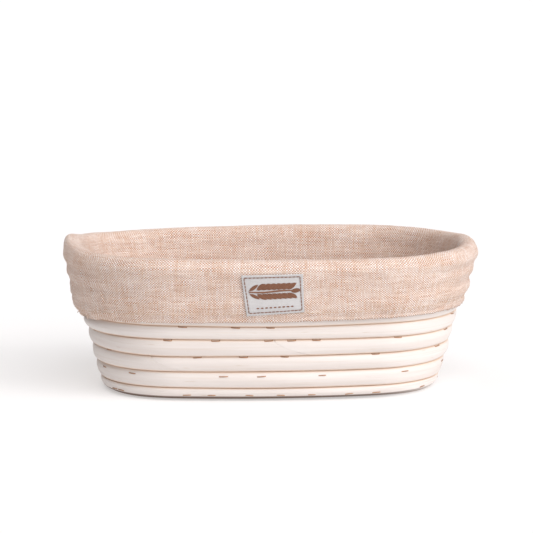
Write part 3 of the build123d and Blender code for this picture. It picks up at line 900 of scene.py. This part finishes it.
def on_cuff_face(distance, height, lift):
    """Point on the outside of the cuff, lifted off it."""
    heights, halves = outside_line(distance)
    half = np.interp(height, heights, halves) + CLOTH / 2 + lift
    return on_oval(np.array(distance), np.array(half), np.array(height))


def hem_line(distance):
    """Height of the hem's lower edge."""
    return outside_line(distance)[0][0]


UPWARD = np.array([0.0, 0.0, 1.0])
TO_FRONT = np.array([0.0, -1.0, 0.0])


def stitch(points, outward, width=0.5 * MM, thickness=0.36 * MM):
    """One stitch along a few points, rounded and pulled in at its ends."""
    path = np.array(points)
    tangent = unit(np.gradient(path, axis=0))
    side = unit(np.cross(tangent, outward))
    up = np.cross(side, tangent)
    taper = np.sin(np.linspace(0.12, 0.88, len(path)) * math.pi)[:, None] ** 0.4
    return tube(path, side * taper, up * taper, width, thickness)


def evenly_round(pitch):
    """Distances round the oval, as near to the pitch as whole stitches allow."""
    count = round(PERIMETER / pitch)
    return [-PERIMETER / 2 + PERIMETER * number / count for number in range(count)]


def cuff_stitches(above_hem, pitch, length):
    """Running stitches round the cuff, a set height above the hem."""
    made = []
    for middle in evenly_round(pitch):
        outward = outward_at(middle)
        sink = (-0.16, 0.06, 0.12, 0.06, -0.16)
        points = [on_cuff_face(middle + length * share, hem_line(middle) + above_hem, lift * MM)
                  for share, lift in zip((-0.5, -0.25, 0.0, 0.25, 0.5), sink)]
        made.append(stitch(points, outward))
    return join(made)


def floor_seam_stitches():
    """Stitches that join the liner's side to its floor, inside."""
    half = inner_wall(FLOOR_THICKNESS + LINER_GAP) - 1.1 * MM
    height = FLOOR_THICKNESS + LINER_GAP + CLOTH + 0.75 * MM
    pitch, length = 3.4 * MM, 2.4 * MM
    made = []
    for middle in evenly_round(pitch):
        shares = np.array([-0.5, -0.25, 0.0, 0.25, 0.5])
        lift = np.array([-0.25, 0.0, 0.1, 0.0, -0.25]) * MM
        points = on_oval(middle + shares * length, half, height + lift)
        made.append(stitch(points, UPWARD))
    return new_object("floor_seam_stitches", *join(made))


def hem_band():
    """Ribbed elastic between the layers of the hem, drawn up into small waves."""
    distance = all_round(900)
    up = np.array([0.6, 1.2, 1.8, 2.4, 3.0, 3.6])
    loop_up = np.concatenate([up, up[::-1]]) * MM
    loop_out = np.concatenate([np.full(len(up), 0.18), np.full(len(up), -0.18)]) * MM
    rib = 0.05 * MM * np.cos(np.concatenate([up, up[::-1]]) * 2 * math.pi / 1.2)
    low = np.array([hem_line(d) for d in distance])[:, None]
    wave = 0.06 * MM * np.sin(distance * 2 * math.pi / (PERIMETER / 260))[:, None]
    height = low + loop_up[None, :]
    face = np.array([np.interp(h, *outside_line(d)) for d, h in zip(distance, height)])
    half = face - CLOTH / 2 - 0.3 * MM + (loop_out + rib * np.sign(loop_out))[None, :] + wave
    points = on_oval(distance[:, None], half, height)
    return new_object("elastic_band", *grid(points, np.append(distance, PERIMETER / 2),
                                           np.append(loop_up, loop_up[0]), wrap_u=True, wrap_v=True))


def frayed_threads():
    """A few loose ends of yarn at the hem, most of them at its left end."""
    random = np.random.default_rng(31)
    made = []
    for start in (-158, -152, -149, -143, -139, -131, -96, 118):
        distance = start * MM
        outward = outward_at(distance)
        along = np.array([-outward[1], outward[0], 0.0])
        root = on_cuff_face(distance, hem_line(distance) + random.uniform(0.4, 2.5) * MM, -0.1 * MM)
        length = random.uniform(1.6, 3.2) * MM
        lean, droop = random.uniform(-0.8, 0.8), random.uniform(0.1, 0.6)
        share = np.linspace(0, 1, 7)[:, None]
        path = root + length * share * (0.75 * outward + lean * along)
        path = path - UPWARD * length * droop * share**2
        made.append(stitch(path, UPWARD, 0.24 * MM, 0.24 * MM))
    return new_object("frayed_yarn", *join(made))


# ======== label ========

LABEL_WIDTH, LABEL_HEIGHT = 35.5 * MM, 25.2 * MM
LABEL_MARGIN = 1.6 * MM
# corners as (x, z) in mm, lower left and right, then upper left and right
LABEL_CORNERS = np.array([[(-19.6, 55.8), (14.8, 58.1)], [(-23.3, 81.4), (12.9, 82.0)]]) * MM


def on_label(a, b, lift):
    """Point on the label from its own coordinates, right and up from its middle."""
    right, high = a / LABEL_WIDTH + 0.5, b / LABEL_HEIGHT + 0.5
    low_row, high_row = LABEL_CORNERS[:, 0] * (1 - right) + LABEL_CORNERS[:, 1] * right
    x, z = low_row * (1 - high) + high_row * high
    distance = SIDE_RADIUS * math.asin(x / SIDE_RADIUS)
    return on_cuff_face(distance, z, 0.62 * MM + lift)


def label_cloth():
    columns, rows = 54, 38
    a = np.linspace(-LABEL_WIDTH / 2, LABEL_WIDTH / 2, columns)
    b = np.linspace(-LABEL_HEIGHT / 2, LABEL_HEIGHT / 2, rows)
    points = np.zeros((columns, rows, 3))
    for i, across in enumerate(a):
        for j, up in enumerate(b):
            side = min(LABEL_WIDTH / 2 - abs(across), LABEL_HEIGHT / 2 - abs(up))
            pulled = -0.16 * MM * math.exp(-((side - LABEL_MARGIN) / (0.7 * MM)) ** 2)
            curl = 0.22 * MM * math.exp(-side / (0.8 * MM))
            edge_bow = 0.15 * MM * math.sin(up / LABEL_HEIGHT * 2.6 + 0.4)
            points[i, j] = on_label(across + edge_bow, up, pulled + curl)
    made = new_object("woven_label", *grid(points, a + 0.5, b + 0.5))
    add_thickness(made, 0.55 * MM)
    return made


def label_border():
    """Running stitches that hold the label down."""
    made = []
    width, height = LABEL_WIDTH - 2 * LABEL_MARGIN, LABEL_HEIGHT - 2 * LABEL_MARGIN
    random = np.random.default_rng(17)
    corners = [(-width / 2, -height / 2), (width / 2, -height / 2),
               (width / 2, height / 2), (-width / 2, height / 2)]
    for (a0, b0), (a1, b1) in zip(corners, corners[1:] + corners[:1]):
        run = math.hypot(a1 - a0, b1 - b0)
        count = round(run / (2.3 * MM))
        for number in range(count):
            middle = (number + 0.5) / count
            reach = 0.43 / count
            points = []
            for share, lift in ((-1, -0.05), (-0.5, 0.2), (0, 0.3), (0.5, 0.2), (1, -0.05)):
                part = middle + share * reach
                jitter = random.normal(0, 0.03) * MM
                points.append(on_label(a0 + (a1 - a0) * part + jitter,
                                       b0 + (b1 - b0) * part + jitter, 0.2 * MM + lift * MM))
            made.append(stitch(points, TO_FRONT, 0.55 * MM, 0.34 * MM))
    return new_object("label_stitches", *join(made))


def satin_leaf(centre, angle, length, width, rows=11):
    """A filled shape of close satin stitches, pointed at both ends."""
    made = []
    along = np.array([math.cos(angle), math.sin(angle)])
    across = np.array([-along[1], along[0]])
    for share in np.linspace(-0.5, 0.5, rows):
        reach = width / 2 * max(1 - (2 * share) ** 2, 0.02) ** 0.7
        middle = np.array(centre) + along * share * length
        points = []
        for step, lift in ((-1, 0.0), (-0.5, 0.18), (0, 0.24), (0.5, 0.18), (1, 0.0)):
            a, b = middle + across * reach * step + along * reach * 0.35 * step
            points.append(on_label(a, b, (0.24 + lift) * MM))
        made.append(stitch(points, TO_FRONT, length / rows * 1.35, 0.3 * MM))
    return made


def label_motif():
    """A plain ear of wheat above a rule, worked in satin stitch."""
    made = []
    raised = 2.0 * MM
    for number in range(7):
        a = (-7.0 + 3.0 * number) * MM
        for side in (-1, 1):
            place = (a, raised + side * 3.1 * MM)
            made += satin_leaf(place, side * math.radians(34), 6.2 * MM, 3.0 * MM)
    made += satin_leaf((13.2 * MM, raised), 0.0, 5.6 * MM, 3.2 * MM)
    stem = [on_label(a * MM, raised + 0.35 * math.sin(a / 4) * MM, 0.42 * MM)
            for a in np.linspace(-14.5, 11, 26)]
    made.append(stitch(stem, TO_FRONT, 1.1 * MM, 0.36 * MM))
    for side in (-1, 1):
        place = (-11.4 * MM, raised + side * 2.7 * MM)
        made += satin_leaf(place, side * math.radians(32), 6.4 * MM, 2.2 * MM)
    for number in range(9):
        a = (number - 4) * 2.6 * MM
        rule = [on_label(a + share * MM, -8.1 * MM, 0.36 * MM) for share in (-0.8, 0.0, 0.8)]
        made.append(stitch(rule, TO_FRONT, 0.9 * MM, 0.3 * MM))
    return new_object("label_motif", *join(made))


# ======== assembly ========

def build_basket():
    cane = cane_material()
    wire = wire_material("staple_wire")
    for level in range(1, LEVELS + 1):
        finish_piece(wall_cane(level), cane, "basket", "cane", f"wall_cane_{level}")
    for index in range(1, FLOOR_RINGS + 1):
        finish_piece(floor_ring(index), cane, "basket", "cane", f"floor_cane_{index}")
    finish_piece(floor_core(), cane, "basket", "cane", "floor_core_cane")
    for seam in range(1, LEVELS):
        node = f"seam_staples_{seam}"
        row = staple_row(f"seam_wires_{seam}", node, seam, math.radians(32), 200 + seam)
        finish_piece(row, wire, "basket", "staple_wire", node)
    row = staple_row("foot_wires", "foot_staples", 1, 0.0, 220)
    finish_piece(row, wire, "basket", "staple_wire", "foot_staples")
    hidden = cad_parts["floor_staples"]
    hidden.data.materials.clear()
    hidden.data.materials.append(wire_material("hidden_staple_wire", has_thread=False))
    rounding = hidden.modifiers.new("rounding", "BEVEL")
    rounding.width = 0.12 * MM
    rounding.segments = 2


def build_liner():
    pale, straw = (1.0, 0.96, 0.95), (0.84, 0.66, 0.56)
    sand, rust = (0.77, 0.545, 0.42), (0.49, 0.22, 0.10)
    linen = woven("linen", 0.84 * MM, (pale, straw), (sand, rust), 0.15, 0.34)
    tape = woven("label_tape", 0.42 * MM, ((0.70, 0.69, 0.70), (0.62, 0.60, 0.60)),
                 ((0.74, 0.72, 0.72), (0.60, 0.57, 0.56)), 0.2, 0.3, relief=0.08 * MM)
    elastic = woven("elastic_weave", 0.6 * MM, ((0.82, 0.79, 0.74), (0.74, 0.7, 0.64)),
                    ((0.86, 0.84, 0.8), (0.78, 0.75, 0.7)), 0.2, 0.35)
    yarn = thread_material("linen_yarn", (0.72, 0.56, 0.44), (0.50, 0.33, 0.22))
    brown = thread_material("brown_thread", (0.30, 0.14, 0.085), (0.17, 0.075, 0.045), 0.5 * MM)
    side = finish_piece(liner_side(), linen, "liner", "linen", "liner_side_panel", "liner_cuff")
    base = finish_piece(liner_floor(), linen, "liner", "linen", "liner_floor_panel")
    band = finish_piece(hem_band(), elastic, "liner", "elastic", "hem_elastic")
    hem = new_object("hem_stitches", *cuff_stitches(5.2 * MM, 3.3 * MM, 2.5 * MM))
    finish_piece(hem, yarn, "liner", "linen_thread", "hem_thread")
    seam = finish_piece(floor_seam_stitches(), yarn, "liner", "linen_thread", "floor_seam_thread")
    frays = finish_piece(frayed_threads(), yarn, "liner", "linen_thread")
    label = finish_piece(label_cloth(), tape, "liner", "label_cloth", "label")
    border = finish_piece(label_border(), brown, "liner", "label_thread", "label_thread")
    motif = finish_piece(label_motif(), brown, "liner", "label_thread")
    half = inner_wall(FLOOR_THICKNESS)
    flat_area = oval_area(half)


def oval_area(half):
    distance = all_round(2000)
    x, y = on_oval(distance, half, 0.0)[:, :2].T
    return float(abs(np.sum(x * np.roll(y, -1) - y * np.roll(x, -1))) / 2)


# ======== studio ========

TENT_LEAN = (0.5, -0.3, 0.8)     # the surroundings are brightest in this direction
TENT_LOW, TENT_HIGH = 0.0, 0.6
BACKDROP = 1.1                   # the white that the camera sees behind
FLOOR_GLOW = 0.47                # the floor's own light, which keeps it white

# name, azimuth and elevation, spread in degrees, strength, colour
LIGHTS = (
    ("key", (57, 28), 32, 1.25, (1.0, 0.99, 0.98)),
    ("front_softbox", (24, 45), 60, 1.7, (1, 1, 1)),
    ("top_fill", (-100, 66), 40, 0.55, (1, 1, 1)),
)

CAMERA_DIRECTION = (-4.0, 9.05)
CAMERA_DISTANCE = 1.55
CAMERA_TARGET = np.array([-0.0028, 0.0, 0.0741])
CAMERA_LENS = 167.2


def aim(thing, target):
    direction = np.array(target) - np.array(thing.location)
    flat = math.hypot(direction[0], direction[1])
    thing.rotation_euler = (math.pi / 2 + math.atan2(direction[2], flat), 0,
                            math.atan2(direction[1], direction[0]) - math.pi / 2)


def from_direction(azimuth, elevation):
    """Unit direction, azimuth from the front towards +X, in degrees."""
    azimuth, elevation = math.radians(azimuth), math.radians(elevation)
    return (math.sin(azimuth) * math.cos(elevation), -math.cos(azimuth) * math.cos(elevation),
            math.sin(elevation))


def studio_light(name, direction, spread, strength, colour):
    """A large distant softbox, seen from the object in its direction."""
    data = bpy.data.lights.new(name, "SUN")
    data.angle = math.radians(spread)
    data.energy = strength
    data.color = colour
    light = bpy.data.objects.new(name, data)
    light.location = from_direction(*direction)
    bpy.context.scene.collection.objects.link(light)
    aim(light, (0, 0, 0))


def light_tent():
    """The surroundings: plain white behind, brighter overhead and to the right than low left."""
    world = bpy.data.worlds.new("studio")
    bpy.context.scene.world = world
    world.use_nodes = True
    tree = world.node_tree
    background = next(node for node in tree.nodes if node.type == "BACKGROUND")
    background.inputs["Color"].default_value = (1.0, 0.975, 0.985, 1)

    def ramp(value, *limits):
        node = tree.nodes.new("ShaderNodeMapRange")
        tree.links.new(value, node.inputs["Value"])
        for key, limit in zip(("From Min", "From Max", "To Min", "To Max"), limits):
            node.inputs[key].default_value = limit
        return node

    lean = tree.nodes.new("ShaderNodeVectorMath")
    lean.operation = "DOT_PRODUCT"
    tree.links.new(tree.nodes.new("ShaderNodeTexCoord").outputs["Generated"], lean.inputs[0])
    lean.inputs[1].default_value = TENT_LEAN
    light = ramp(lean.outputs["Value"], -0.4, 1.0, TENT_LOW, TENT_HIGH)
    seen = tree.nodes.new("ShaderNodeLightPath").outputs["Is Camera Ray"]
    strength = ramp(seen, 0.0, 1.0, 0.0, BACKDROP)
    tree.links.new(light.outputs[0], strength.inputs["To Min"])
    tree.links.new(strength.outputs[0], background.inputs["Strength"])


def studio():
    floor = new_object("studio_floor", np.array([[-6, -6, 0], [6, -6, 0], [6, 6, 0], [-6, 6, 0.0]]),
                       [[0, 1, 2, 3]])
    floor.data.materials.append(floor_material())
    floor.location.z = -0.05 * MM
    light_tent()
    for light in LIGHTS:
        studio_light(*light)
    bpy.context.scene.view_settings.view_transform = "Standard"


def camera():
    data = bpy.data.cameras.new("camera")
    data.sensor_width = 36
    data.lens = CAMERA_LENS
    made = bpy.data.objects.new("camera", data)
    made.location = CAMERA_TARGET + CAMERA_DISTANCE * np.array(from_direction(*CAMERA_DIRECTION))
    bpy.context.scene.collection.objects.link(made)
    aim(made, CAMERA_TARGET)
    bpy.context.scene.camera = made


build_basket()
build_liner()
studio()
camera()
